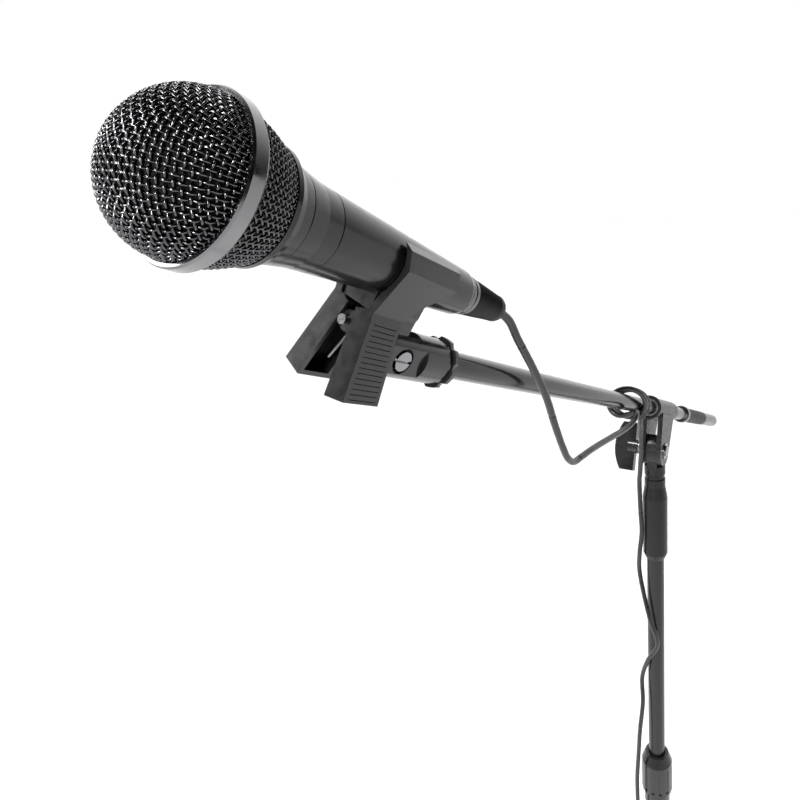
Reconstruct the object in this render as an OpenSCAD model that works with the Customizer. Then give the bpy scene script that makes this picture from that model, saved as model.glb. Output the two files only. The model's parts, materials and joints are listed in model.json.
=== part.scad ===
// Boom microphone stand: folding tripod, two-part pole, tilting boom with a
// grip at its rear end, spring clip on a swivel, hand microphone and its lead.
// Millimetres, +Z up, floor at Z 0, the microphone points along -X.

/* [Pole] */
// Pole axis in X, so that the whole stand is centred on the origin
pole_x = 114; // [0:1:200]
// Height of the boom's tilt axis above the floor
tilt_axis_z = 950; // [700:1:1200]
// Radius of the upper pole tube
upper_r = 9; // [7:0.5:12]
// Radius of the lower pole tube
lower_r = 11.5; // [10:0.5:16]
// Height of the joint sleeve where the upper tube leaves the lower one
clutch_z = 540; // [300:1:650]

/* [Boom] */
// Rise of the boom above level, towards the microphone
boom_tilt = 22; // [0:1:45]
// Boom axis above the tilt axis, square to the boom
boom_up = 41; // [38:0.5:60]
// Radius of the boom tube
boom_r = 7; // [5:0.5:10]
// From the tilt axis to the clip's swivel axis, along the boom
boom_reach = 436; // [250:1:700]

/* [Clip and microphone] */
// Turn of the clip about the boom
clip_roll = 24; // [0:1:90]
// Tilt of the microphone against the boom
mic_tilt = 1; // [-10:1:10]
// Microphone axis above the swivel axis
mic_up = 35.5; // [32:0.5:45]
// Front of the microphone ahead of the swivel axis
mic_ahead = 135; // [125:1:145]
// Length of the microphone
mic_len = 158.5; // [150:0.5:170]
// Largest radius of the grille
head_r = 24.9; // [22:0.1:28]

/* [Tripod] */
// Distance of the leg pins from the pole axis
leg_pin_x = 34; // [30:1:45]
// Height of the leg pins
leg_pin_z = 78; // [60:1:100]
// Length of a leg from its pin to the middle of its foot
leg_len = 300; // [240:1:400]
// Radius of a leg tube
leg_r = 8; // [6:0.5:11]

/* [Lead] */
// Diameter of the microphone lead
lead_d = 4.75; // [4:0.25:7]

/* [Hidden] */
$fn = 64;
gap = 0.3;
run = 0.05;
tube_wall = 1.5;
leg_drop = asin((leg_pin_z - leg_r - 4) / leg_len);
leg_turns = [180, 60, -60];
barrel_front = 36;
barrel_back = -40;
ring_front = -92;
grip_front = -104;
grip_back = -198;
cap_back = -278;
pin_drop = 27;
head_mid = 22;
tail_r = 10.6;
lead_r = lead_d / 2;

module at_pole() translate([pole_x, 0, 0]) children();
module at_leg(turn) at_pole() rotate([0, 0, turn]) translate([leg_pin_x, 0, leg_pin_z]) children();
module along_leg(turn) at_leg(turn) rotate([0, 90 + leg_drop, 0]) children();
module at_tilt() translate([pole_x, 0, tilt_axis_z]) rotate([0, boom_tilt, 0]) children();
// local +Z runs from the tilt axis towards the microphone
module along_boom(s) at_tilt() translate([-s, 0, boom_up]) rotate([0, -90, 0]) children();
module at_swivel()
  at_tilt() translate([-boom_reach, 0, boom_up]) rotate([clip_roll, 0, 0]) children();
// local +Z runs from the front of the microphone to its tail, local -X is up
module at_mic()
  at_swivel() rotate([0, mic_tilt, 0]) translate([-mic_ahead, 0, mic_up])
  rotate([0, 90, 0]) children();
module ring(ro, ri, h) difference() {
  cylinder(r = ro, h = h);
  translate([0, 0, -1]) cylinder(r = ri, h = h + 2);
}
module across(r, y0, y1) translate([0, y0, 0]) rotate([-90, 0, 0]) cylinder(r = r, h = y1 - y0);
module block(a, b) translate(a) cube(b - a);

// ---- tripod ----
hub_r = 19;
hub_z0 = 52;
hub_z1 = 112;
ear_in = 5.5;
ear_out = 10;
pin_r = 3;
module base_hub() color([0.1, 0.1, 0.11]) at_pole() difference() {
  union() {
    translate([0, 0, hub_z0]) cylinder(r = hub_r, h = hub_z1 - hub_z0);
    translate([0, 0, hub_z1]) cylinder(r1 = hub_r, r2 = 15, h = 8);
    translate([0, 0, hub_z0 - 6]) cylinder(r1 = 15, r2 = hub_r, h = 6);
    translate([0, 0, hub_z1 - 14]) cylinder(r = hub_r + 1.2, h = 6);
    for (turn = leg_turns) rotate([0, 0, turn]) for (s = [-1, 1]) {
      translate([leg_pin_x, 0, leg_pin_z]) rotate([90, 0, 0])
        translate([0, 0, s > 0 ? ear_in : -ear_out]) cylinder(r = 9, h = ear_out - ear_in);
      translate([10, s > 0 ? ear_in : -ear_out, leg_pin_z - 9])
        cube([leg_pin_x - 10, ear_out - ear_in, 18]);
    }
    for (s = [-1, 1]) translate([0, 0, 96]) rotate([0, 90, 0]) cylinder(r = 5, h = 1);
  }
  translate([0, 0, hub_z0 - 2]) cylinder(r = lower_r, h = 80);
  translate([0, 0, hub_z0 - 10]) cylinder(r = lower_r - 3, h = 20);
  for (turn = leg_turns) rotate([0, 0, turn]) translate([leg_pin_x, 0, leg_pin_z])
    across(pin_r, -15, 15);
  translate([0, 0, 102]) rotate([0, 90, 0]) cylinder(r = 2.5, h = 30);
}
module leg_pins() color([0.75, 0.76, 0.78]) for (turn = leg_turns) at_leg(turn) {
  across(pin_r, -ear_out, ear_out);
  across(5, -ear_out - 1.6, -ear_out);
  across(4.4, ear_out, ear_out + 1.6);
}
module hub_screw() color([0.75, 0.76, 0.78]) at_pole() translate([0, 0, 102]) rotate([0, 90, 0])
  difference() {
    union() {
      translate([0, 0, lower_r]) cylinder(r = 2.5, h = hub_r - lower_r + 1);
      translate([0, 0, hub_r + 1.2]) cylinder(r = 4.5, h = 3);
    }
    translate([0, 0, hub_r + 2.4]) cylinder(r = 2, h = 4, $fn = 6);
  }
module lower_tube() color([0.08, 0.08, 0.09]) at_pole()
  translate([0, 0, hub_z0 - 2]) ring(lower_r, lower_r - tube_wall, clutch_z - hub_z0 + 2);
module base_plug() color([0.1, 0.1, 0.1]) at_pole() {
  translate([0, 0, hub_z0 - 12]) cylinder(r = 12, h = 6);
  translate([0, 0, hub_z0 - 6]) cylinder(r = lower_r - 3, h = 14);
}
module leg_root(turn) color([0.1, 0.1, 0.11]) {
  difference() {
    union() {
      at_leg(turn) across(8, 0.3 - ear_in, ear_in - 0.3);
      along_leg(turn) translate([-7.5, 0.3 - ear_in, 0]) cube([15, 2 * ear_in - 0.6, 16]);
      along_leg(turn) translate([0, 0, 14]) cylinder(r1 = 7, r2 = leg_r + 2.2, h = 5);
      along_leg(turn) translate([0, 0, 19]) cylinder(r = leg_r + 2.2, h = 17);
      along_leg(turn) translate([0, 0, 36]) cylinder(r1 = leg_r + 2.2, r2 = leg_r + 0.8, h = 3);
    }
    at_leg(turn) across(pin_r + run, -15, 15);
    along_leg(turn) translate([0, 0, 20]) cylinder(r = leg_r, h = 30);
  }
}
module leg_tube(turn) color([0.08, 0.08, 0.09]) along_leg(turn)
  translate([0, 0, 20]) ring(leg_r, leg_r - tube_wall, leg_len - 30);
module foot(turn) color([0.05, 0.05, 0.05]) difference() {
  union() {
    along_leg(turn) translate([0, 0, leg_len - 34]) cylinder(r = leg_r + 1.6, h = 34);
    along_leg(turn) translate([0, 0, leg_len - 30]) ring(leg_r + 2.6, leg_r, 3);
    along_leg(turn) translate([0, 0, leg_len]) cylinder(r1 = leg_r + 1.6, r2 = 6, h = 5);
    at_leg(turn) rotate([0, leg_drop, 0]) translate([leg_len, 0, 0]) rotate([0, -leg_drop, 0])
      translate([-8, 0, -leg_r - 4]) cylinder(r1 = 9, r2 = 7, h = 8);
  }
  along_leg(turn) translate([0, 0, leg_len - 40]) cylinder(r = leg_r, h = 30);
  block([-900, -900, -20], [900, 900, 0]);
}
module leg_root_a() leg_root(leg_turns[0]);
module leg_root_b() leg_root(leg_turns[1]);
module leg_root_c() leg_root(leg_turns[2]);
module leg_tube_a() leg_tube(leg_turns[0]);
module leg_tube_b() leg_tube(leg_turns[1]);
module leg_tube_c() leg_tube(leg_turns[2]);
module foot_a() foot(leg_turns[0]);
module foot_b() foot(leg_turns[1]);
module foot_c() foot(leg_turns[2]);

// ---- pole ----
clutch_r = 17;
thread_r = 14;
module clutch_base() color([0.1, 0.1, 0.1]) at_pole() translate([0, 0, clutch_z - 34])
  rotate_extrude() polygon([[lower_r, 0], [13, 0], [14.5, 3], [14.5, 18], [thread_r, 18],
    [thread_r, 52], [upper_r + run, 52], [upper_r + run, 34], [lower_r, 34]]);
module clutch_sleeve() color([0.07, 0.07, 0.07]) at_pole() translate([0, 0, clutch_z - 15])
  difference() {
    rotate_extrude() polygon([[thread_r + run, 0], [clutch_r - 1, 0], [clutch_r, 1],
      [clutch_r, 40], [13, 50], [upper_r + 0.6, 50], [upper_r + 0.6, 37], [thread_r + run, 37]]);
    for (k = [0 : 11]) rotate([0, 0, 30 * k]) translate([clutch_r + 1.4, 0, 4])
      cylinder(r = 2.4, h = 32);
  }
upper_z0 = 300;
upper_z1 = 852;
module guide_bush() color([0.8, 0.8, 0.78]) at_pole() translate([0, 0, upper_z0 - 9])
  rotate_extrude() polygon([[0, 0], [lower_r - tube_wall - run, 0],
    [lower_r - tube_wall - run, 8.7], [upper_r - 1.6, 8.7], [upper_r - 1.6, 26], [0, 26]]);
module upper_tube() color([0.08, 0.08, 0.09]) at_pole()
  translate([0, 0, upper_z0]) ring(upper_r, upper_r - 1.5, upper_z1 - upper_z0);
head_z = 828;
module pole_head() color([0.1, 0.1, 0.11]) at_pole() difference() {
  union() {
    translate([0, 0, head_z]) rotate_extrude() polygon([[0, 0], [10.2, 0], [12.7, 6], [12.7, 70],
      [10.6, 82.5], [10.6, 91], [9.8, 92], [9.8, 95], [10.6, 96], [10.6, 106], [0, 106]]);
    translate([0, 0, tilt_axis_z]) across(15, -5.2, 5.2);
    translate([-10.2, -5.2, tilt_axis_z - 20]) cube([20.4, 10.4, 20]);
  }
  translate([0, 0, head_z - 1]) cylinder(r = upper_r, h = upper_z1 - head_z + 1);
  translate([0, 0, tilt_axis_z]) across(3.5 + run, -12, 12);
  translate([0, 0, head_z + 14]) rotate([0, 90, 0]) cylinder(r = 2.2, h = 20);
}
module head_screw() color([0.75, 0.76, 0.78]) at_pole() translate([0, 0, head_z + 14])
  rotate([0, 90, 0]) difference() {
    translate([0, 0, upper_r]) cylinder(r = 2.2, h = 3.2);
    translate([0, 0, upper_r + 1.6]) cylinder(r = 1.2, h = 4, $fn = 6);
  }

// ---- tilt joint ----
fork_in = 5.5;
fork_out = 10.5;
barrel_r = 10.5;
module boom_clamp() color([0.1, 0.1, 0.11]) difference() {
  union() {
    along_boom(barrel_back) rotate_extrude() polygon([[0, 0], [9.6, 0], [barrel_r, 1],
      [barrel_r, 71], [11.8, 71.4], [11.8, 75.2], [11, 76], [0, 76]]);
    at_tilt() for (y = [-fork_out, fork_in]) {
      across(15.5, y, y + fork_out - fork_in);
      translate([0, y + fork_out - fork_in, 0]) rotate([90, 0, 0])
        linear_extrude(height = fork_out - fork_in)
        polygon([[-15.5, 0], [15.5, 0], [20, 26], [22, boom_up - 4], [-20, boom_up - 4],
          [-19, 26]]);
    }
  }
  along_boom(barrel_back - 1) cylinder(r = 8.6, h = 80);
  at_tilt() across(3.5, -20, 20);
  at_tilt() translate([-30, -fork_in, -30]) cube([60, 2 * fork_in, boom_up + 22 - 2]);
}
module clamp_bush() color([0.75, 0.75, 0.72]) along_boom(barrel_back + 3)
  ring(8.6, boom_r + run, 69);
module tilt_bolt() color([0.78, 0.79, 0.8]) at_tilt() difference() {
  union() {
    across(3.5, -13, 24);
    across(5.2, 12.1, 16.6);
  }
  translate([-5, -14, -0.4]) cube([10, 1.4, 0.8]);
}
module tilt_washers() color([0.7, 0.71, 0.72]) at_tilt() for (y = [-11.4, fork_out])
  difference() {
    across(8, y, y + 0.9);
    across(3.5, y - 1, y + 2);
  }
module tilt_nut() color([0.7, 0.71, 0.72]) at_tilt() difference() {
  translate([0, -12.9, 0]) rotate([-90, 0, 0]) cylinder(r = 6, h = 1.5, $fn = 6);
  across(3.5, -16, -9);
}
module tilt_knob() color([0.06, 0.06, 0.06]) at_tilt() difference() {
  union() {
    across(7, 16.9, 27);
    intersection() {
      translate([-4, -5, 0]) rotate([0, 90, 0]) cylinder(r = 46, h = 8, $fn = 128);
      translate([-4, 19.5, -24.6]) cube([8, 30, 49.2]);
    }
  }
  across(3.5 + run, 10, 24.2);
}

// ---- boom ----
stud_r = 4.7;
module boom_tube() color([0.6, 0.61, 0.63]) along_boom(cap_back + 8)
  ring(boom_r, boom_r - 1.2, boom_reach - 37 - cap_back - 8);
module boom_stud() color([0.75, 0.76, 0.78]) along_boom(boom_reach - 60) rotate_extrude()
  polygon([[0, 0], [boom_r - 1.2, 0], [boom_r - 1.2, 23], [boom_r, 23], [boom_r, 23.6],
    [stud_r, 23.6], [stud_r, 40], [4, 41], [0, 41]]);
module rear_ring() color([0.08, 0.08, 0.08]) along_boom(grip_front) rotate_extrude()
  polygon([[boom_r, 0], [8.6, 0], [9.6, 1], [9.6, 10], [8.4, 12], [boom_r, 12]]);
module grip_sleeve() color([0.1, 0.1, 0.1]) along_boom(grip_back) difference() {
  ring(8.4, boom_r, grip_front - grip_back);
  for (k = [0 : 7]) translate([0, 0, 8 + 11 * k]) ring(9, 8.1, 0.8);
}
module end_cap() color([0.62, 0.62, 0.6]) along_boom(cap_back) rotate_extrude()
  polygon([[0, 0], [4, 0.6], [6.6, 2.4], [8, 6], [8, 80], [boom_r, 80], [boom_r, 8], [0, 8]]);

// ---- swivel ----
module lock_ring() color([0.3, 0.3, 0.31]) along_boom(boom_reach - 36.3) difference() {
  cylinder(r = 12.6, h = 2.6);
  translate([0, 0, -1]) cylinder(r = stud_r + run, h = 5);
  for (k = [0 : 6]) rotate([0, 0, 360 * k / 7]) translate([14.4, 0, -1]) cylinder(r = 3, h = 5);
}
ear_y = 9;
slot_y = 4.7;
module clip_barrel() color([0.09, 0.09, 0.09]) at_swivel() difference() {
  union() {
    translate([14, 0, 0]) rotate([0, 90, 0]) rotate_extrude()
      polygon([[0, 0], [11, 0], [11, 18.4], [10.4, 19.4], [0, 19.4]]);
    intersection() {
      translate([-12, 0, 0]) rotate([0, 90, 0]) cylinder(r = 11, h = 27);
      union() {
        across(11.4, -ear_y, ear_y);
        block([0, -ear_y, -12], [27, ear_y, 12]);
      }
    }
  }
  block([-20, -slot_y, -20], [11.5, slot_y, 20]);
  translate([14, 0, 0]) rotate([0, 90, 0]) cylinder(r = stud_r + run, h = 30);
  across(2.6, -20, 20);
  across(6, -20, -6.6);
  across(5.2, 6.8, 20);
}
module swivel_screw() color([0.82, 0.83, 0.84]) at_swivel() difference() {
  union() {
    across(2.6, -7, 9.4);
    across(4.6, -9.4, -6.6);
  }
  block([-6, -10, -0.6], [6, -8.2, 0.6]);
}
module swivel_nut() color([0.7, 0.71, 0.72]) at_swivel() difference() {
  translate([0, 6.8, 0]) rotate([-90, 0, 0]) cylinder(r = 5, h = 2.4, $fn = 6);
  across(2.6, 5, 12);
}

// ---- spring clip, drawn in the microphone's frame (-X up, -Y near side) ----
clip_t0 = 101;
function handle_r(t) = 14.9 - (t - 67.5) * (14.9 - tail_r) / (mic_len - 67.5);
module handle_cone(t0, t1, grow) translate([0, 0, t0])
  cylinder(r1 = handle_r(t0) + grow, r2 = handle_r(t1) + grow, h = t1 - t0);
// profile points are given as [side, up]
module section(t0, t1, pts) translate([0, 0, t0]) linear_extrude(height = t1 - t0)
  polygon([for (p = pts) [-p[1], p[0]]]);
pin_hole = 1.6;
// a block seen from the side, its points given as [distance from the front, up]
module side_view(pts) translate([0, 30, 0]) rotate([90, 0, 0]) linear_extrude(height = 60)
  polygon([for (p = pts) [-p[1], p[0]]]);
module jaw_web(s, t0, t1) {
  translate([pin_drop, 0, t0]) cylinder(r = 4.4, h = t1 - t0);
  section(t0, t1, [[0, 3.4 - pin_drop], [0, -4.4 - pin_drop], [s * 13, -4.4 - pin_drop],
    [s * 11.5, 3.4 - pin_drop]]);
}
module jaw_arm(s) intersection() {
  difference() {
    section(clip_t0, 134.5, [[s * 8.9, 8.6], [s * 9.8, 10.9], [s * 14.4, 9], [s * 17.8, 1.8],
      [s * 11.7, -18.6], [s * 8, -18.5], [s * 11, -8], [s * 9, 0]]);
    handle_cone(clip_t0 - 1, 136, 1.2);
  }
  side_view([[clip_t0, 13], [134.5, 13], [134.5, 2], [124.3, -8.6], [118.5, -18.6],
    [clip_t0, -18.6]]);
}
rib_pitch = 2.1;
module jaw_grip(s) difference() {
  intersection() {
    section(clip_t0, 123, [[s * 2.5, -20.2], [s * 8, -18.4], [s * 11.7, -18.4], [s * 18.5, -53.4],
      [s * 8.6, -55.8]]);
    side_view([[clip_t0, -18], [118.5, -18], [121.6, -57], [clip_t0, -57]]);
  }
  section(clip_t0 + 1.8, 116.4, [[0, -22.2], [9.8, -20.4] * [[s, 0], [0, 1]], [s * 15.9, -51.8],
    [s * 4, -54.7]]);
  for (k = [0 : 14]) let (side = 12.5 + 0.409 * k, up = -22.6 - rib_pitch * k)
    section(clip_t0 + 2.4, 117 + 0.17 * k,
      [[s * (side - 0.4), up], [s * (side + 1.2), up + 0.6], [s * (side + 1.2), up - 0.6]]);
}
module jaw(s) difference() {
  union() {
    jaw_arm(s);
    jaw_grip(s);
    if (s < 0) jaw_web(s, clip_t0 + 2.2, clip_t0 + 6);
    else jaw_web(s, clip_t0 + 6.4, clip_t0 + 10.2);
  }
  translate([pin_drop, 0, clip_t0 - 5]) cylinder(r = pin_hole + run, h = 50);
}
module jaw_near() color([0.09, 0.09, 0.09]) at_mic() jaw(-1);
module jaw_far() color([0.09, 0.09, 0.09]) at_mic() jaw(1);
module pad(s) at_mic() intersection() {
  difference() {
    handle_cone(clip_t0 + 1, 130, 1.2);
    handle_cone(clip_t0, 131, 0.3);
  }
  section(clip_t0, 130, [[s * 9.5, 6], [s * 20, 6], [s * 20, -8], [s * 9.5, -8]]);
  side_view([[clip_t0, 13], [130, 13], [130, 1], [121, -8.6], [clip_t0, -10]]);
}
module pad_near() color([0.15, 0.15, 0.15]) pad(-1);
module pad_far() color([0.15, 0.15, 0.15]) pad(1);
module clip_block() color([0.09, 0.09, 0.09]) at_mic() difference() {
  union() {
    section(clip_t0 + 1, 132, [[-8, -10], [8, -10], [8, -16.3], [7.2, -18.6], [-7.2, -18.6],
      [-8, -16.3]]);
    section(122.6, 132, [[-5, -18], [5, -18], [4.4, -32], [-4.4, -32]]);
    translate([mic_up, 0, mic_ahead]) across(9.6, 0.3 - slot_y, slot_y - 0.3);
    section(126, 136, [[-4.4, -18], [4.4, -18], [4.4, -38], [-4.4, -38]]);
  }
  handle_cone(clip_t0, 134, 0);
  translate([pin_drop, 0, 115]) cylinder(r = pin_hole, h = 15);
  translate([mic_up, 0, mic_ahead]) across(2.6 + run, -20, 20);
}
module hinge_pin() color([0.8, 0.81, 0.82]) at_mic() translate([pin_drop, 0, 0]) {
  translate([0, 0, clip_t0 - 0.4]) cylinder(r = pin_hole, h = 29);
  translate([0, 0, clip_t0 - 1.4]) cylinder(r = 2.1, h = 1);
}
module jaw_spring() color([0.75, 0.76, 0.78]) at_mic() translate([pin_drop, 0, 0]) {
  for (k = [0 : 3]) translate([0, 0, 112.2 + 1.1 * k]) rotate_extrude() translate([3.2, 0])
    circle(r = 0.6, $fn = 16);
  for (s = [-1, 1]) translate([0, s * 3.2, s > 0 ? 112.2 : 115.5]) rotate([0, 0, s * 16])
    rotate([0, 90, 0]) cylinder(r = 0.6, h = 20, $fn = 16);
}

// ---- microphone, profile points are [radius, distance from the front] ----
function dome(r, d, n) = [for (k = [0 : n]) [r * sin(90 * k / n), head_mid - d * cos(90 * k / n)]];
module dome_layer(ro, ri, ext) rotate_extrude()
  polygon(concat(dome(ro, ro - head_r + head_mid, 10), [[ro, head_mid + ext], [ri, head_mid + ext]],
    [for (k = [10 : -1 : 0]) dome(ri, ri - head_r + head_mid, 10)[k]]));
module grille_front() color([0.2, 0.2, 0.21]) at_mic() dome_layer(head_r, head_r - 1.2, 0.2);
module grille_band() color([0.75, 0.76, 0.78]) at_mic() rotate_extrude()
  polygon([[24.95, 20.9], [25.9, 20.9], [26.4, 21.6], [26.4, 25.6], [25.8, 26.4], [23.7, 26.4],
    [23.7, 22.2], [24.95, 22.2]]);
module grille_rear() color([0.2, 0.2, 0.21]) at_mic() rotate_extrude()
  polygon([[24, 26.4], [25.1, 26.4], [24.6, 29.5], [22.7, 36], [19.7, 42.5], [18.4, 42.5],
    [21.5, 35.6], [23.4, 29.2]]);
module foam() color([0.1, 0.1, 0.1]) at_mic() dome_layer(head_r - 1.2, head_r - 4, 3);
module capsule() color([0.6, 0.6, 0.6]) at_mic() translate([0, 0, 9]) cylinder(r = 13, h = 15);
module capsule_mount() color([0.08, 0.08, 0.08]) at_mic() rotate_extrude()
  polygon([[13, 18], [15.5, 18], [15.5, 26], [10, 32], [10, 43], [0, 43], [0, 24], [13, 24]]);
module mic_collar() color([0.12, 0.12, 0.12]) at_mic() rotate_extrude()
  polygon([[10, 42.5], [20.1, 42.5], [20.1, 44.2], [18.6, 45.4], [15, 45.4], [15, 43.6],
    [10, 43.6]]);
module mic_neck() color([0.12, 0.12, 0.12]) at_mic() rotate_extrude()
  polygon([[15, 45.4], [18.6, 45.4], [17.6, 48], [16.8, 52], [16.4, 52.3], [16.6, 52.6],
    [15.4, 60], [14.9, 67], [12, 67], [12, 50]]);
module mic_handle() color([0.1, 0.1, 0.1]) at_mic() difference() {
  rotate_extrude() polygon([[12, 67], [14.4, 67], [14.9, 67.5], [handle_r(mic_len - 3), mic_len - 3],
    [10.35, mic_len - 1.2], [9.9, mic_len - 0.2], [9.6, mic_len], [9, mic_len], [9, 148],
    [12, 120]]);
  rotate([0, 0, -30]) section(72, 82, [[-3, 13.4], [3, 13.4], [3, 16], [-3, 16]]);
}
module mic_switch() color([0.05, 0.05, 0.05]) at_mic() rotate([0, 0, -30])
  section(74.5, 79.5, [[-2.6, 13.5], [2.6, 13.5], [2.2, 15.5], [-2.2, 15.5]]);
module mic_insert() color([0.05, 0.05, 0.05]) at_mic() translate([0, 0, 143])
  cylinder(r1 = 9.2, r2 = 9, h = 5);
module mic_pins() color([0.85, 0.8, 0.6]) at_mic() for (k = [0 : 2]) rotate([0, 0, 120 * k])
  translate([3.8, 0, 148]) cylinder(r = 1, h = 9, $fn = 24);

// ---- lead ----
plug_t = 164.5;
boot_t = 196.2;
module plug_body() color([0.7, 0.71, 0.72]) at_mic() difference() {
  rotate_extrude() polygon([[0, 150], [8, 150], [8, mic_len + 0.3], [9, mic_len + 0.3],
    [9.4, mic_len + 0.8], [9.4, 160.9], [9, 161.2], [9, 161.8], [9.4, 162.1], [9.4, plug_t - 0.4],
    [9, plug_t], [0, plug_t]]);
  for (k = [0 : 2]) rotate([0, 0, 120 * k]) translate([3.8, 0, 149])
    cylinder(r = 1.3, h = 10, $fn = 24);
}
module plug_boot() color([0.06, 0.06, 0.06]) at_mic() rotate_extrude()
  polygon(concat([[0, plug_t]], [for (k = [0 : 47]) let (t = plug_t + 0.1 + 0.54 * k)
    [9.25 - 0.088 * (t - plug_t) - (k % 2) * 0.35, t]],
    [[6.9, 190.4], [6.9, 193], [6.3, 194.8], [5.2, 195.8], [lead_r + 1, boot_t], [0, boot_t]]));

// A round cord swept along points by a closed list of rings
function unit(v) = v / norm(v);
function tangent(p, i) = unit(p[min(i + 1, len(p) - 1)] - p[max(i - 1, 0)]);
function side(t) = unit(cross(t, abs(t[2]) < 0.8 ? [0, 0, 1] : [1, 0, 0]));
cord_sides = 10;
module cord(p) {
  n = len(p);
  pts = [for (i = [0 : n - 1]) let (t = tangent(p, i), a = side(t), b = cross(t, a))
    for (k = [0 : cord_sides - 1])
      p[i] + lead_r * (cos(36 * k) * a + sin(36 * k) * b)];
  walls = [for (i = [0 : n - 2]) for (k = [0 : cord_sides - 1])
    [i * cord_sides + k, (i + 1) * cord_sides + k,
     (i + 1) * cord_sides + (k + 1) % cord_sides, i * cord_sides + (k + 1) % cord_sides]];
  start = [for (k = [0 : cord_sides - 1]) k];
  finish = [for (k = [cord_sides - 1 : -1 : 0]) (n - 1) * cord_sides + k];
  polyhedron(points = pts, faces = concat(walls, [start, finish]), convexity = 8);
}
// the plug's end, from the microphone's frame to the stand's frame
function turn_y(p, a) = [p[0] * cos(a) + p[2] * sin(a), p[1], p[2] * cos(a) - p[0] * sin(a)];
function turn_x(p, a) = [p[0], p[1] * cos(a) - p[2] * sin(a), p[1] * sin(a) + p[2] * cos(a)];
function from_swivel(p) = [pole_x, 0, tilt_axis_z]
  + turn_y(turn_x(p, clip_roll) + [-boom_reach, 0, boom_up], boom_tilt);
function from_mic(t) = from_swivel(turn_y([t - mic_ahead, 0, mic_up], mic_tilt));
// a point beside the boom: distance along it, then away from its axis to the far side and up
function by_boom(s, far, up) = [pole_x, 0, tilt_axis_z] + turn_y([-s, far, boom_up + up], boom_tilt);
hang = [[-308, -14.5, 154.5], [-300.5, -14.5, 143.5], [-284.5, -15, 121.5], [-270, -15, 100],
  [-257, -14, 76], [-246, -13.5, 57], [-238.5, -13, 47], [-230, -13, 41], [-216, -13, 39],
  [-200, -13, 37.3], [-180, -13, 34.5], [-156, -13.5, 31], [-131, -14.5, 28]];
// from the hanging stretch inwards under the boom
tuck = [[133, -16, -16], [125.5, -16, -10.2], [119.5, -13.3, -7.5], [116.5, -6.5, -10.4]];
axes_z = tilt_axis_z + boom_up / cos(boom_tilt);
wrap_r = boom_r + lead_r + 0.3;
// two loose slanting turns: a is the angle gone, from under the boom up its far side
function wind(a) = let (round = 255 - a, slant = round - 145, r = wrap_r + 3.3 * pow(sin(slant), 2))
  by_boom(104 - a / 42 + 17 * cos(slant) + 18 * exp(-a / 60), -r * cos(round), r * sin(round));
run_path = concat([from_mic(boot_t + 0.6), from_mic(boot_t + 3.6) + [0, 0, -0.6]],
  [for (h = hang) [pole_x, 0, axes_z] + h], [for (t = tuck) by_boom(t[0], t[1], t[2])],
  [for (k = [0 : 19]) wind(30 * k)], [wind(592), wind(600)]);
drop_path = concat([wind(604), wind(612), wind(630)],
  [for (d = [[-55, -4, 1004], [-49, -1, 997], [-42, 1, 989], [-35.5, 3, 980], [-30, 4.5, 969],
    [-25, 6, 957], [-19.5, 8.5, 944], [-15.5, 10.5, 932], [-12.5, 12.5, 918], [-11.5, 12.5, 900],
    [-11.5, 12, 884], [-11.5, 11, 860],
    [-10, 14, 835], [-6, 16, 812], [-10, 10, 785], [-15, 2, 760], [-15, -6, 732],
    [-12, 6, 704], [-7, 14, 676], [-12, 12, 648], [-17, 14, 615], [-18, 16, 580],
    [-18, 18, 545], [-17, 18, 505], [-15, 18, 460], [-14, 18, 415], [-13, 18, 370],
    [-12, 19, 325], [-11, 20, 280], [-10, 21, 235], [-8, 22, 195], [-4, 25, 160],
    [0, 32, 128], [0, 44, 96], [-2, 60, 62], [-6, 78, 34], [-14, 94, 14],
    [-27, 104, 6], [-42, 108, 3.2], [-60, 109, 2.8]]) [pole_x, 0, 0] + d]);
module lead_run() color([0.05, 0.05, 0.05]) cord(run_path);
module lead_drop() color([0.05, 0.05, 0.05]) cord(drop_path);
coil_r = 30;
module lead_coil() color([0.05, 0.05, 0.05]) at_pole() translate([-60, 66, 0]) rotate_extrude()
  polygon([[coil_r - 9, 0.2], [coil_r + 8, 0.2], [coil_r + 9.5, 4], [coil_r + 8, 10],
    [coil_r - 9, 10], [coil_r - 10, 4]]);
module end_plug() color([0.7, 0.71, 0.72]) at_pole() translate([-58, -6, 9.7]) rotate([0, -90, 20])
  difference() {
    rotate_extrude() polygon([[0, 0], [3.6, 0], [5.4, 16], [8.4, 18], [9.4, 19], [9.4, 62],
      [8, 62], [8, 46], [0, 46]]);
    translate([0, 0, -1]) cylinder(r = 1, h = 8, $fn = 24);
  }

base_hub();
leg_pins();
hub_screw();
lower_tube();
base_plug();
leg_root_a();
leg_tube_a();
foot_a();
leg_root_b();
leg_tube_b();
foot_b();
leg_root_c();
leg_tube_c();
foot_c();
clutch_base();
clutch_sleeve();
guide_bush();
upper_tube();
pole_head();
head_screw();
boom_clamp();
clamp_bush();
tilt_bolt();
tilt_washers();
tilt_nut();
tilt_knob();
boom_tube();
boom_stud();
rear_ring();
grip_sleeve();
end_cap();
lock_ring();
clip_barrel();
swivel_screw();
swivel_nut();
clip_block();
hinge_pin();
jaw_near();
jaw_far();
pad_near();
pad_far();
jaw_spring();
mic_handle();
mic_neck();
mic_collar();
grille_front();
grille_band();
grille_rear();
foam();
capsule();
capsule_mount();
mic_insert();
mic_pins();
mic_switch();
plug_body();
plug_boot();
lead_run();
lead_drop();
lead_coil();
end_plug();
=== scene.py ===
"""Looks for the boom microphone stand: lead, woven grille, materials, light and camera."""

import json
import math

import bpy
import numpy as np
from mathutils import Matrix, Vector


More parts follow.
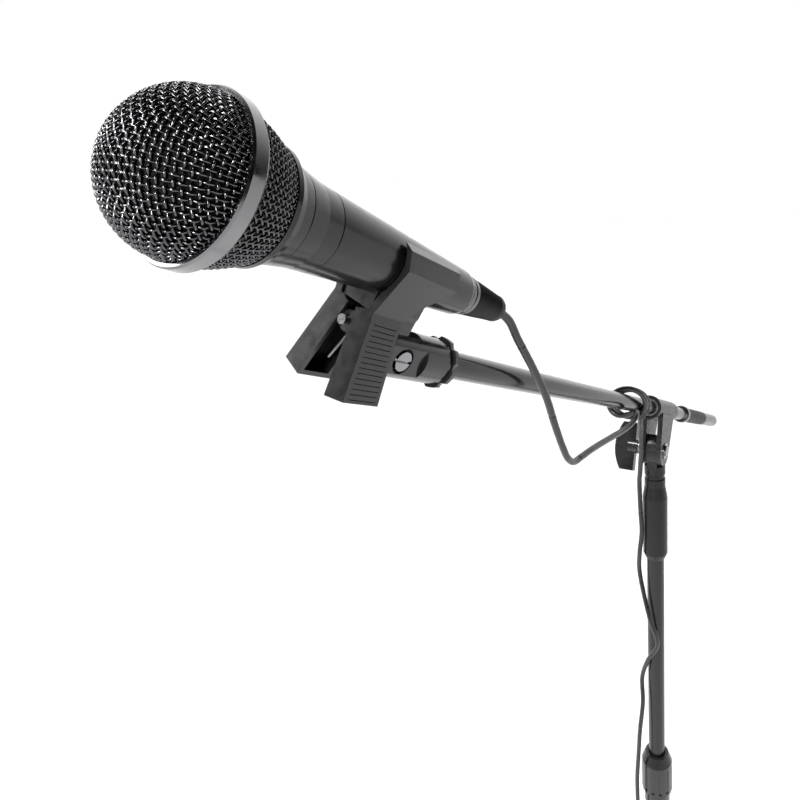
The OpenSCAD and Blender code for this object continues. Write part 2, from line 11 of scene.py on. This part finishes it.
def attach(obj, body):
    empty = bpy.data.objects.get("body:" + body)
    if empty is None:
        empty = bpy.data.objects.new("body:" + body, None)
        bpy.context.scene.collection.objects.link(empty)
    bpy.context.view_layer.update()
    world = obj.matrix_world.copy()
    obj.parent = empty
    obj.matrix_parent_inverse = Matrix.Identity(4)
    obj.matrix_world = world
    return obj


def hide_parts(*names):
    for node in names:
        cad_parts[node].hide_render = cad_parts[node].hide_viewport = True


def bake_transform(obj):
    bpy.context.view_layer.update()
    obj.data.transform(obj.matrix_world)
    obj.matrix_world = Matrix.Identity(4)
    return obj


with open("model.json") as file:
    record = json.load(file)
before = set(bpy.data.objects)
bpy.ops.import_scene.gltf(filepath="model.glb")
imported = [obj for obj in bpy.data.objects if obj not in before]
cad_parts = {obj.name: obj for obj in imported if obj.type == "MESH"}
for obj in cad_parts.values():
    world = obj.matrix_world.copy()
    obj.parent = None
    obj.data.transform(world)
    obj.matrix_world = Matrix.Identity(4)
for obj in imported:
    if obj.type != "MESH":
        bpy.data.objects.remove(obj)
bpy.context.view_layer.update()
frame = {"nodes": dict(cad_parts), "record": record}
nodes = frame["nodes"]

# ---- the CAD's own placements, in millimetres until a mesh is written ----
MM = 0.001
POLE_X, TILT_Z, BOOM_TILT, BOOM_UP, REACH = 114, 950, 22, 41, 436
CLIP_ROLL, MIC_TILT, MIC_UP, MIC_AHEAD = 24, 1, 35.5, 135
HEAD_R, HEAD_MID, BOOM_R = 24.9, 22, 7
LEAD_D = 4.75
BOOT_T = 196.2


def move(x, y, z):
    return Matrix.Translation((x, y, z))


def turn(degrees, axis):
    return Matrix.Rotation(math.radians(degrees), 4, axis)


AT_TILT = move(POLE_X, 0, TILT_Z) @ turn(BOOM_TILT, "Y")
AT_SWIVEL = AT_TILT @ move(-REACH, 0, BOOM_UP) @ turn(CLIP_ROLL, "X")
# +Z runs from the front of the microphone to its tail, -X is up
AT_MIC = AT_SWIVEL @ turn(MIC_TILT, "Y") @ move(-MIC_AHEAD, 0, MIC_UP) @ turn(90, "Y")
AXES_Z = TILT_Z + BOOM_UP / math.cos(math.radians(BOOM_TILT))


# ---- camera ----
def make_camera():
    yaw, pitch, roll = (math.radians(a) for a in (60.19, -13.39, -3.49))
    fwd = Vector((math.sin(yaw) * math.cos(pitch), math.cos(yaw) * math.cos(pitch), math.sin(pitch)))
    right = Vector((math.cos(yaw), -math.sin(yaw), 0))
    up = right.cross(fwd)
    r = math.cos(roll) * right + math.sin(roll) * up
    u = math.cos(roll) * up - math.sin(roll) * right
    m = Matrix((r, u, -fwd)).transposed().to_4x4()
    m.translation = Vector((POLE_X - 595, -178.7, AXES_Z + 222.1)) * MM
    data = bpy.data.cameras.new("camera")
    data.sensor_width = 36
    data.lens = 28.62
    data.shift_x, data.shift_y = -0.1378, -0.0730
    data.clip_start, data.clip_end = 0.02, 60
    cam = bpy.data.objects.new("camera", data)
    cam.matrix_world = m
    bpy.context.scene.collection.objects.link(cam)
    bpy.context.scene.camera = cam


make_camera()


# ---- mesh helpers ----
def new_object(name, verts, faces, smooth=True):
    """A mesh object from points in millimetres."""
    mesh = bpy.data.meshes.new(name)
    mesh.from_pydata([(x * MM, y * MM, z * MM) for x, y, z in verts], [], faces)
    mesh.validate()
    mesh.update()
    if smooth:
        # the round ends of wires and cords stay flat, so their edges don't shade the tube
        mesh.polygons.foreach_set("use_smooth", [len(p.vertices) < 5 for p in mesh.polygons])
    obj = bpy.data.objects.new(name, mesh)
    bpy.context.scene.collection.objects.link(obj)
    return obj


def rings_along(points, radius, sides):
    """Ring points of a round tube along a line, with a frame that doesn't twist."""
    p = np.asarray(points, float)
    n = len(p)
    t = np.gradient(p, axis=0)
    t /= np.linalg.norm(t, axis=1)[:, None]
    a = np.cross(t[0], (0, 0, 1) if abs(t[0][2]) < 0.9 else (1, 0, 0))
    a /= np.linalg.norm(a)
    angles = np.arange(sides) * 2 * math.pi / sides
    out = np.zeros((n, sides, 3))
    for i in range(n):
        a = a - (a @ t[i]) * t[i]
        a /= np.linalg.norm(a)
        b = np.cross(t[i], a)
        out[i] = p[i] + radius * (np.cos(angles)[:, None] * a + np.sin(angles)[:, None] * b)
    return out


def tube_faces(count, sides, base=0):
    """Wall and end faces of a tube of count rings, whose first point is number base."""
    faces = []
    for i in range(count - 1):
        a, b = base + i * sides, base + (i + 1) * sides
        for k in range(sides):
            m = (k + 1) % sides
            faces.append((a + k, a + m, b + m, b + k))
    faces.append(tuple(base + k for k in reversed(range(sides))))
    faces.append(tuple(base + (count - 1) * sides + k for k in range(sides)))
    return faces


STEPS = 16  # points of the smooth line between two given points


def catmull(points, step):
    """A smooth line through the points, resampled about step apart."""
    p = [Vector(q) for q in points]
    p = [2 * p[0] - p[1], *p, 2 * p[-1] - p[-2]]
    fine = []
    for i in range(1, len(p) - 2):
        p0, p1, p2, p3 = p[i - 1 : i + 3]
        t0 = 0.0
        t1 = t0 + max((p1 - p0).length, 1e-6) ** 0.5
        t2 = t1 + max((p2 - p1).length, 1e-6) ** 0.5
        t3 = t2 + max((p3 - p2).length, 1e-6) ** 0.5
        for s in range(STEPS):
            t = t1 + (t2 - t1) * s / STEPS
            a1 = p0 * ((t1 - t) / (t1 - t0)) + p1 * ((t - t0) / (t1 - t0))
            a2 = p1 * ((t2 - t) / (t2 - t1)) + p2 * ((t - t1) / (t2 - t1))
            a3 = p2 * ((t3 - t) / (t3 - t2)) + p3 * ((t - t2) / (t3 - t2))
            b1 = a1 * ((t2 - t) / (t2 - t0)) + a2 * ((t - t0) / (t2 - t0))
            b2 = a2 * ((t3 - t) / (t3 - t1)) + a3 * ((t - t1) / (t3 - t1))
            fine.append(b1 * ((t2 - t) / (t2 - t1)) + b2 * ((t - t1) / (t2 - t1)))
    fine.append(p[-2])
    line = np.array([tuple(q) for q in fine])
    along = np.concatenate([[0], np.cumsum(np.linalg.norm(np.diff(line, axis=0), axis=1))])
    at = np.linspace(0, along[-1], max(2, int(round(along[-1] / step)) + 1))
    return np.stack([np.interp(at, along, line[:, k]) for k in range(3)], axis=1)


# ---- the lead ----
WRAP_R = BOOM_R + LEAD_D / 2 + 0.3
LEAD_SIDES, LEAD_STEP = 14, 1.7


def mic_axis(t):
    return AT_MIC @ Vector((0, 0, t))


def by_boom(s, far, up):
    """A point beside the boom: distance along it, then away from its axis to the far side and up."""
    return AT_TILT @ Vector((-s, far, BOOM_UP + up))


def wind(a):
    """Two loose slanting turns: a is the angle gone, from under the boom up its far side."""
    turned = math.radians(255 - a)
    slant = turned - math.radians(145)
    r = WRAP_R + 3.3 * math.sin(slant) ** 2
    s = 104 - a / 42 + 17 * math.cos(slant) + 18 * math.exp(-a / 60)
    return by_boom(s, -r * math.cos(turned), r * math.sin(turned))


# Points beside the pole at the height of the boom's axis, then (distance, far, up) beside the boom
HANG = [(-308, -14.5, 154.5), (-300.5, -14.5, 143.5), (-284.5, -15, 121.5), (-270, -15, 100),
        (-257, -14, 76), (-246, -13.5, 57), (-238.5, -13, 47), (-230, -13, 41), (-216, -13, 39),
        (-200, -13, 37.3), (-180, -13, 34.5), (-156, -13.5, 31), (-131, -14.5, 28)]
TUCK = [(133, -16, -16), (125.5, -16, -10.2), (119.5, -13.3, -7.5), (116.5, -6.5, -10.4)]
# Points beside the pole, down to the floor
DROP = [(-55, -4, 1004), (-49, -1, 997), (-42, 1, 989), (-35.5, 3, 980), (-30, 4.5, 969),
        (-25, 6, 957), (-19.5, 8.5, 944), (-15.5, 10.5, 932), (-12.5, 12.5, 918), (-11.5, 12.5, 900),
        (-11.5, 12, 884), (-11.5, 11, 860), (-10, 14, 835), (-6, 16, 812), (-10, 10, 785),
        (-15, 2, 760), (-15, -6, 732), (-12, 6, 704), (-7, 14, 676), (-12, 12, 648),
        (-17, 14, 615), (-18, 16, 580), (-18, 18, 545), (-17, 18, 505), (-15, 18, 460),
        (-14, 18, 415), (-13, 18, 370), (-12, 19, 325), (-11, 20, 280), (-10, 21, 235),
        (-8, 22, 195), (-4, 25, 160), (0, 32, 128), (0, 44, 96), (-2, 60, 62), (-6, 78, 34),
        (-14, 94, 14), (-27, 104, 6), (-42, 108, 3.2), (-60, 109, 3)]
COIL = (-60, 66)
LAYER = (3.0, 7.6)


def coil_points():
    """Four turns inwards on the floor, three outwards on top of them, then round to the plug."""
    out = []
    per = 24
    for k in range(1, 4 * per + 1):  # lower layer
        a = k / per
        r = 43 - 6 * min(1, a / 0.3) - 4.75 * max(0, a - 0.3)
        r += 0.25 * math.sin(7 * a + 1)
        out.append((math.pi / 2 + 2 * math.pi * a, r, LAYER[0] + 0.15 * math.sin(5 * a) ** 2))
    last_r = out[-1][1]
    for k in range(1, int(3.5 * per) + 1):
        a = k / per
        r = last_r + 1.5 * min(1, a / 0.3) + 4.0 * max(0, a - 0.3)
        r += 0.3 * math.sin(6 * a + 2)
        z = LAYER[0] + (LAYER[1] - LAYER[0]) * min(1, a / 0.25)
        out.append((math.pi / 2 + 2 * math.pi * (4 + a), r, z + 0.2 * math.sin(4 * a) ** 2))
    ring = [(COIL[0] + r * math.cos(t), COIL[1] + r * math.sin(t), z) for t, r, z in out]
    return [*ring, (-49, 27, 8), (-38, 23, 5.5), (-31, 15, 3.4), (-30, 6, 2.9), (-35, -2, 4),
            (-45, -5.7, 7.6), (-57, -6, 9.7)]


def lead_line():
    pole = Vector((POLE_X, 0, 0))
    top = Vector((POLE_X, 0, AXES_Z))
    points = [mic_axis(BOOT_T - 2), mic_axis(BOOT_T + 3.3) + Vector((0, 0, -0.6))]
    points += [top + Vector(h) for h in HANG]
    points += [by_boom(*t) for t in TUCK]
    points += [wind(30 * k) for k in range(22)]
    points += [pole + Vector(d) for d in DROP]
    points += [pole + Vector(c) for c in coil_points()]
    return catmull(points, LEAD_STEP)


line = lead_line()
line_rings = rings_along(line, LEAD_D / 2, LEAD_SIDES)
along = np.concatenate([[0], np.cumsum(np.linalg.norm(np.diff(line, axis=0), axis=1))])


def nearest(point, after=0):
    return after + int(np.linalg.norm(line[after:] - np.array(point), axis=1).argmin())


run_cuts = [int(np.searchsorted(along, s)) for s in (34, 98, 162)]
after_wind = nearest(wind(630), nearest(wind(540)))
cuts = [0, *run_cuts, after_wind]
cuts.append(nearest((POLE_X - 11.5, 12, 884), after_wind))
cuts.append(nearest((POLE_X - 17, 14, 615), cuts[-1]))
cuts.append(nearest((POLE_X - 60, 109, 3), cuts[-1]))
cuts.append(len(line) - 1)
LEAD = ["lead_at_plug", "lead_at_clip", "lead_at_swivel", "lead_on_boom", "lead_to_pole",
        "lead_on_pole", "lead_to_floor", "lead_spare"]
leads = {}
for name, a, b in zip(LEAD, cuts, cuts[1:]):
    rings = line_rings[a : b + 1]
    leads[name] = new_object(name, rings.reshape(-1, 3), tube_faces(len(rings), LEAD_SIDES))


def at(i):
    return line[i] * MM


def band(name, centre, radial, half, round_r, wide, thick, lift):
    """A flat strap round the coil's bundle: a rounded rectangle swept as a closed loop."""
    w, h = half
    loop = []
    for sx, sz, a0 in ((1, 1, 0), (-1, 1, 90), (-1, -1, 180), (1, -1, 270)):
        for k in range(7):
            a = math.radians(a0 + 15 * k)
            loop.append((sx * (w - round_r) + round_r * math.cos(a),
                         sz * (h - round_r) + round_r * math.sin(a)))
    loop = np.array(loop)
    n = len(loop)
    t = np.roll(loop, -1, 0) - np.roll(loop, 1, 0)
    t /= np.linalg.norm(t, axis=1)[:, None]
    normal = np.stack([t[:, 1], -t[:, 0]], axis=1)
    across = np.cross(radial, (0, 0, 1))
    verts, faces = [], []
    for i in range(n):
        for off, side in ((0, -1), (thick, -1), (thick, 1), (0, 1)):
            q = loop[i] + normal[i] * off
            verts.append(np.array(centre) + q[0] * np.array(radial)
                         + (q[1] + lift) * np.array((0, 0, 1)) + across * side * wide / 2)
    for i in range(n):
        j = (i + 1) % n
        for k in range(4):
            m = (k + 1) % 4
            faces.append((4 * i + k, 4 * j + k, 4 * j + m, 4 * i + m))
    obj = new_object(name, verts, faces, smooth=False)
    bevel = obj.modifiers.new("edges", "BEVEL")
    bevel.width, bevel.segments = 0.2 * MM, 2
    return obj


tie = band("lead_tie", centre=(POLE_X + COIL[0] - 30.3, COIL[1], 0), radial=(-1, 0, 0),
           half=(10.6, 5.1), round_r=2.4, wide=9, thick=0.5, lift=5.4)


# ---- woven wire of the grille ----
def weave_tube(lines, radius, sides, name):
    verts, faces = [], []
    for line_pts in lines:
        if len(line_pts) < 4:
            continue
        ring = rings_along(line_pts, radius, sides)
        faces += tube_faces(len(line_pts), sides, base=len(verts))
        verts += ring.reshape(-1, 3).tolist()
    return new_object(name, [AT_MIC @ Vector(v) for v in verts], faces)


WIRE_R, WEAVE_PITCH, WEAVE_TURN = 0.39, 1.98, 73
WIRE_SIDES = 6
SWING = 0.95  # how far a wire bows over and under, in wire radii
SHEET_R = HEAD_R - 2 * WIRE_R - 0.05


def dome_curve(n=400):
    """Arc length along the grille's profile from its tip, with radius and distance from the front."""
    depth = HEAD_MID - (HEAD_R - SHEET_R)
    a = np.linspace(0, math.pi / 2, n)
    r = SHEET_R * np.sin(a)
    t = HEAD_MID - depth * np.cos(a)
    s = np.concatenate([[0], np.cumsum(np.hypot(np.diff(r), np.diff(t)))])
    nr, nt = np.sin(a) / SHEET_R, -np.cos(a) / depth
    size = np.hypot(nr, nt)
    return s, r, t, nr / size, nt / size


def front_weave():
    """Square mesh draped over the dome: (u, v) on the flat sheet, u along a wire."""
    pitch = WEAVE_PITCH
    s, r, t, nr, nt = dome_curve()
    reach = s[-1] + 0.15
    half = int(reach / pitch) + 1
    lines = []
    for family in (0, 1):
        for i in range(-half, half + 1):
            v = (i + 0.5) * pitch
            if abs(v) >= reach:
                continue
            u_max = math.sqrt(reach**2 - v * v)
            count = max(4, int(2 * u_max / (pitch / 5)))
            pts = []
            for u in np.linspace(-u_max, u_max, count):
                x, y = (u, v) if family == 0 else (v, u)
                d = math.hypot(x, y)
                c = (x / d, y / d) if d > 1e-6 else (1, 0)
                side = 1 if (i + family) % 2 else -1
                lift = math.cos(math.pi * (u / pitch - 0.5)) * side * WIRE_R * SWING
                rr, tt = np.interp(d, s, r), np.interp(d, s, t)
                rr += lift * np.interp(d, s, nr)
                tt += lift * np.interp(d, s, nt)
                a = math.atan2(c[1], c[0]) + math.radians(WEAVE_TURN)
                pts.append((rr * math.cos(a), rr * math.sin(a), min(tt, HEAD_MID + 0.2)))
            lines.append(pts)
    return weave_tube(lines, WIRE_R, WIRE_SIDES, "grille_front_wire")


# radius, distance from the front
REAR_PROFILE = [(25.0, 26.3), (24.9, 27.2), (24.4, 29.5), (23.4, 33.5), (22.2, 37.0), (20.9, 40.0),
                (19.9, 42.6)]
REAR_WIRE_R, REAR_WIRES, REAR_MID_R, REAR_POINTS = 0.33, 58, 22.8, 60


def rear_weave():
    """Two families of wires that wind opposite ways round the taper, crossing at a right angle."""
    prof = np.array(REAR_PROFILE) - np.array([REAR_WIRE_R * 2, 0])
    fine_t = np.linspace(prof[0, 1], prof[-1, 1], 200)
    fine_r = np.interp(fine_t, prof[:, 1], prof[:, 0])
    fine_r = np.convolve(np.pad(fine_r, 8, mode="edge"), np.ones(17) / 17, "valid")
    s = np.concatenate([[0], np.cumsum(np.hypot(np.diff(fine_r), np.diff(fine_t)))])
    lines = []
    apart = 2 * math.pi / REAR_WIRES  # angle between wires of one family
    slope = 1 / REAR_MID_R
    for family in (1, -1):
        for i in range(REAR_WIRES):
            pts = []
            for q in np.linspace(0, s[-1], REAR_POINTS):
                a = i * apart + family * q * slope
                # a whole number where the other family crosses, over and under in turn
                phase = 2 * q * slope / apart
                lift = family * math.cos(math.pi * phase) * REAR_WIRE_R * SWING
                rr = np.interp(q, s, fine_r) + lift
                pts.append((rr * math.cos(a), rr * math.sin(a), np.interp(q, s, fine_t)))
            lines.append(pts)
    return weave_tube(lines, REAR_WIRE_R, WIRE_SIDES, "grille_rear_wire")


# ---- materials ----
def node_of(tree, kind, **values):
    n = tree.nodes.new(kind)
    for key, value in values.items():
        if key.startswith("in_"):
            n.inputs[key[3:].replace("_", " ")].default_value = value
        else:
            setattr(n, key, value)
    return n


def material(name, base, rough, metallic=0.0, grain=1200.0, bump=0.15, depth=0.05, vary=0.25,
             rough_vary=0.08, stretch=(1, 1, 1), patch=60.0, edge_highlight=0.0, specular=0.5, dots=False):
    """A finish with uneven colour and gloss, a fine surface grain, and a painted highlight on sharp
    edges where asked.
    """
    m = bpy.data.materials.new(name)
    m.use_nodes = True
    tree = m.node_tree
    link = tree.links.new
    shader = tree.nodes["Principled BSDF"]
    shader.inputs["Metallic"].default_value = metallic
    shader.inputs["Specular IOR Level"].default_value = specular
    where = node_of(tree, "ShaderNodeTexCoord")
    scaled = node_of(tree, "ShaderNodeMapping")
    scaled.inputs["Scale"].default_value = stretch
    link(where.outputs["Object"], scaled.inputs["Vector"])
    broad = node_of(tree, "ShaderNodeTexNoise", in_Scale=patch, in_Detail=5.0, in_Roughness=0.6)
    link(scaled.outputs["Vector"], broad.inputs["Vector"])
    mix = node_of(tree, "ShaderNodeMix", data_type="RGBA")
    mix.inputs[6].default_value = (*[c * (1 - vary) for c in base], 1)
    mix.inputs[7].default_value = (*[min(1, c * (1 + vary)) for c in base], 1)
    link(broad.outputs["Fac"], mix.inputs[0])
    colour = mix.outputs[2]
    # painted highlight: sharp convex edges, found by pointiness, are mixed toward a lighter grey to
    # stand in for the light that edges catch
    if edge_highlight:
        geo = node_of(tree, "ShaderNodeNewGeometry")
        ramp = node_of(tree, "ShaderNodeMapRange")
        ramp.inputs["From Min"].default_value = 0.53
        ramp.inputs["From Max"].default_value = 0.62
        ramp.inputs["To Max"].default_value = edge_highlight
        link(geo.outputs["Pointiness"], ramp.inputs["Value"])
        lit_edge = node_of(tree, "ShaderNodeMix", data_type="RGBA")
        lit_edge.inputs[7].default_value = (*[min(1, 0.10 + c * 2) for c in base], 1)
        link(ramp.outputs["Result"], lit_edge.inputs[0])
        link(colour, lit_edge.inputs[6])
        colour = lit_edge.outputs[2]
    link(colour, shader.inputs["Base Color"])
    gloss = node_of(tree, "ShaderNodeTexNoise", in_Scale=patch * 4.3, in_Detail=6.0)
    link(scaled.outputs["Vector"], gloss.inputs["Vector"])
    spread = node_of(tree, "ShaderNodeMapRange")
    spread.inputs["From Min"].default_value, spread.inputs["From Max"].default_value = 0.25, 0.75
    spread.inputs["To Min"].default_value = max(0.02, rough - rough_vary)
    spread.inputs["To Max"].default_value = min(1, rough + rough_vary)
    link(gloss.outputs["Fac"], spread.inputs["Value"])
    link(spread.outputs["Result"], shader.inputs["Roughness"])
    if dots:
        fine = node_of(tree, "ShaderNodeTexVoronoi", in_Scale=grain)
        height = fine.outputs["Distance"]
    else:
        fine = node_of(tree, "ShaderNodeTexNoise", in_Scale=grain, in_Detail=3.0)
        height = fine.outputs["Fac"]
    link(scaled.outputs["Vector"], fine.inputs["Vector"])
    relief = node_of(tree, "ShaderNodeBump", in_Strength=bump, in_Distance=depth * MM)
    link(height, relief.inputs["Height"])
    link(relief.outputs["Normal"], shader.inputs["Normal"])
    return m


# the black cast parts get a painted highlight on their sharp edges
CAST = material("cast_black", (0.006, 0.006, 0.0065), 0.3, grain=900, bump=0.2, depth=0.08, edge_highlight=0.1,
                specular=0.3)
TUBE = material("tube_black", (0.006, 0.006, 0.0065), 0.22, grain=1500, bump=0.1, stretch=(1, 1, 0.05),
                specular=0.4)
BOOM = material("boom_tube", (0.045, 0.045, 0.047), 0.17, metallic=0.9, grain=1500, bump=0.06, vary=0.12,
                rough_vary=0.05)
STEEL = material("fastener", (0.26, 0.26, 0.27), 0.24, metallic=1, grain=2600, bump=0.12, vary=0.15)
RUBBER = material("rubber_black", (0.012, 0.012, 0.012), 0.55, grain=1400, bump=0.4, depth=0.1,
                  specular=0.35)
# the black plastic parts get a painted highlight on their sharp edges
PLASTIC = material("plastic_black", (0.006, 0.006, 0.0063), 0.2, grain=2400, bump=0.05, depth=0.02,
                   edge_highlight=0.1, specular=0.5, rough_vary=0.05)
PALE = material("plastic_pale", (0.55, 0.55, 0.5), 0.45, grain=1500, bump=0.15)
CAP = material("cap_grey", (0.2, 0.2, 0.195), 0.35, grain=1500, bump=0.2)
MIC = material("mic_paint", (0.007, 0.007, 0.0075), 0.22, grain=2600, bump=0.05, depth=0.02,
               specular=0.45, rough_vary=0.04)
WIRE = material("grille_wire", (0.10, 0.10, 0.105), 0.2, metallic=1, grain=3000, bump=0.1, vary=0.35,
                rough_vary=0.08)
BAND = material("band_metal", (0.2, 0.2, 0.205), 0.2, metallic=1, grain=2600, bump=0.08, vary=0.12)
FOAM = material("foam", (0.008, 0.008, 0.008), 0.95, grain=1600, bump=0.9, depth=0.5, dots=True,
                specular=0.1)
CAPSULE = material("capsule", (0.5, 0.5, 0.5), 0.35, metallic=1)
CONTACT = material("contact", (0.75, 0.58, 0.28), 0.25, metallic=1)
PLUG = material("plug_metal", (0.16, 0.16, 0.165), 0.28, metallic=0.9, grain=2600, bump=0.12)
JACKET = material("lead_jacket", (0.009, 0.009, 0.0095), 0.3, grain=1100, bump=0.2, depth=0.06)
FINISH = {
    "cast_black": CAST, "tube_black": TUBE, "boom_tube": BOOM, "fastener": STEEL,
    "rubber_black": RUBBER, "plastic_black": PLASTIC, "plastic_pale": PALE, "cap_grey": CAP,
    "mic_paint": MIC, "grille_wire": WIRE, "band_metal": BAND, "foam": FOAM,
    "capsule": CAPSULE, "contact": CONTACT, "plug_metal": PLUG, "lead_jacket": JACKET,
}


def paint(obj, m):
    obj.data.materials.clear()
    obj.data.materials.append(m)


SOFT_EDGE = {"base_hub": 0.8, "boom_clamp": 0.8, "pole_head": 0.6, "tilt_knob": 1.4, "clip_barrel": 0.5,
             "jaw_near": 0.35, "jaw_far": 0.35, "clip_block": 0.4, "clutch_sleeve": 0.4}
for part in frame["record"]["subparts"]:
    obj = nodes[part["node"]]
    paint(obj, FINISH[part["material_slot"]])
    bevel = obj.modifiers.new("edges", "BEVEL")
    bevel.width = SOFT_EDGE.get(part["node"], 0.2) * MM
    bevel.segments = 3
    bevel.limit_method = "ANGLE"
    bevel.angle_limit = math.radians(38)
    bevel.harden_normals = True


# ---- pieces onto the frame ----
front_wire = front_weave()
rear_wire = rear_weave()
for wire, node in ((front_wire, "grille_front"), (rear_wire, "grille_rear")):
    paint(wire, WIRE)
    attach(wire, "clip")
    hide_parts(node)

for obj in leads.values():
    paint(obj, JACKET)
paint(tie, RUBBER)


def span(name):
    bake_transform(leads[name])


span("lead_at_plug")
span("lead_at_clip")
span("lead_at_swivel")
span("lead_on_boom")
span("lead_to_pole")
span("lead_on_pole")
span("lead_to_floor")
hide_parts("lead_run")
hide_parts("lead_drop")
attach(leads["lead_spare"], "base")
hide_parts("lead_coil")
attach(tie, "base")


# ---- floor and light ----
def make_stage():
    far = 20000
    floor = new_object("floor", [(-far, -far, 0), (far, -far, 0), (far, far, 0), (-far, far, 0)],
                       [(0, 1, 2, 3)], smooth=False)
    floor.location.z = -0.0002
    paint(floor, material("floor_pale", (0.88, 0.88, 0.88), 0.7, grain=40, bump=0.02, vary=0.01,
                          patch=2, specular=0.2))
    world = bpy.data.worlds.new("studio")
    bpy.context.scene.world = world
    world.use_nodes = True
    tree = world.node_tree
    back = tree.nodes["Background"]
    back.inputs["Color"].default_value = (1, 1, 1, 1)
    where = node_of(tree, "ShaderNodeTexCoord")
    facing = node_of(tree, "ShaderNodeVectorMath", operation="DOT_PRODUCT")
    facing.inputs[1].default_value = Vector((-0.83, -0.52, 0.05)).normalized()
    tree.links.new(where.outputs["Generated"], facing.inputs[0])
    dim = node_of(tree, "ShaderNodeMapRange", interpolation_type="SMOOTHSTEP")
    dim.inputs["From Min"].default_value, dim.inputs["From Max"].default_value = -0.85, -0.1
    dim.inputs["To Min"].default_value, dim.inputs["To Max"].default_value = 1.5, 0.01
    tree.links.new(facing.outputs["Value"], dim.inputs["Value"])
    seen = node_of(tree, "ShaderNodeLightPath")
    pick = node_of(tree, "ShaderNodeMix", data_type="FLOAT")
    pick.inputs[3].default_value = 1.0
    tree.links.new(seen.outputs["Is Camera Ray"], pick.inputs[0])
    tree.links.new(dim.outputs["Result"], pick.inputs[2])
    tree.links.new(pick.outputs[0], back.inputs["Strength"])
    bpy.context.scene.view_settings.view_transform = "Standard"


def area(name, place, target, size, power):
    data = bpy.data.lights.new(name, "AREA")
    data.shape = "RECTANGLE"
    data.size, data.size_y = size
    data.energy = power
    obj = bpy.data.objects.new(name, data)
    bpy.context.scene.collection.objects.link(obj)
    obj.location = place
    obj.rotation_euler = (Vector(target) - Vector(place)).to_track_quat("-Z", "Y").to_euler()


def sun(direction, strength, wide):
    data = bpy.data.lights.new("overhead", "SUN")
    data.energy, data.angle = strength, math.radians(wide)
    obj = bpy.data.objects.new("overhead", data)
    bpy.context.scene.collection.objects.link(obj)
    obj.rotation_euler = Vector(direction).to_track_quat("-Z", "Y").to_euler()


make_stage()
sun((0.25, -0.2, -1), 3.2, 22)
area("key", (-1.5, -0.15, 1.5), (-0.4, 0, 1.17), (0.35, 0.35), 26)
area("rim", (-0.9, 1.1, 1.5), (-0.3, 0, 1.17), (0.3, 0.9), 8)
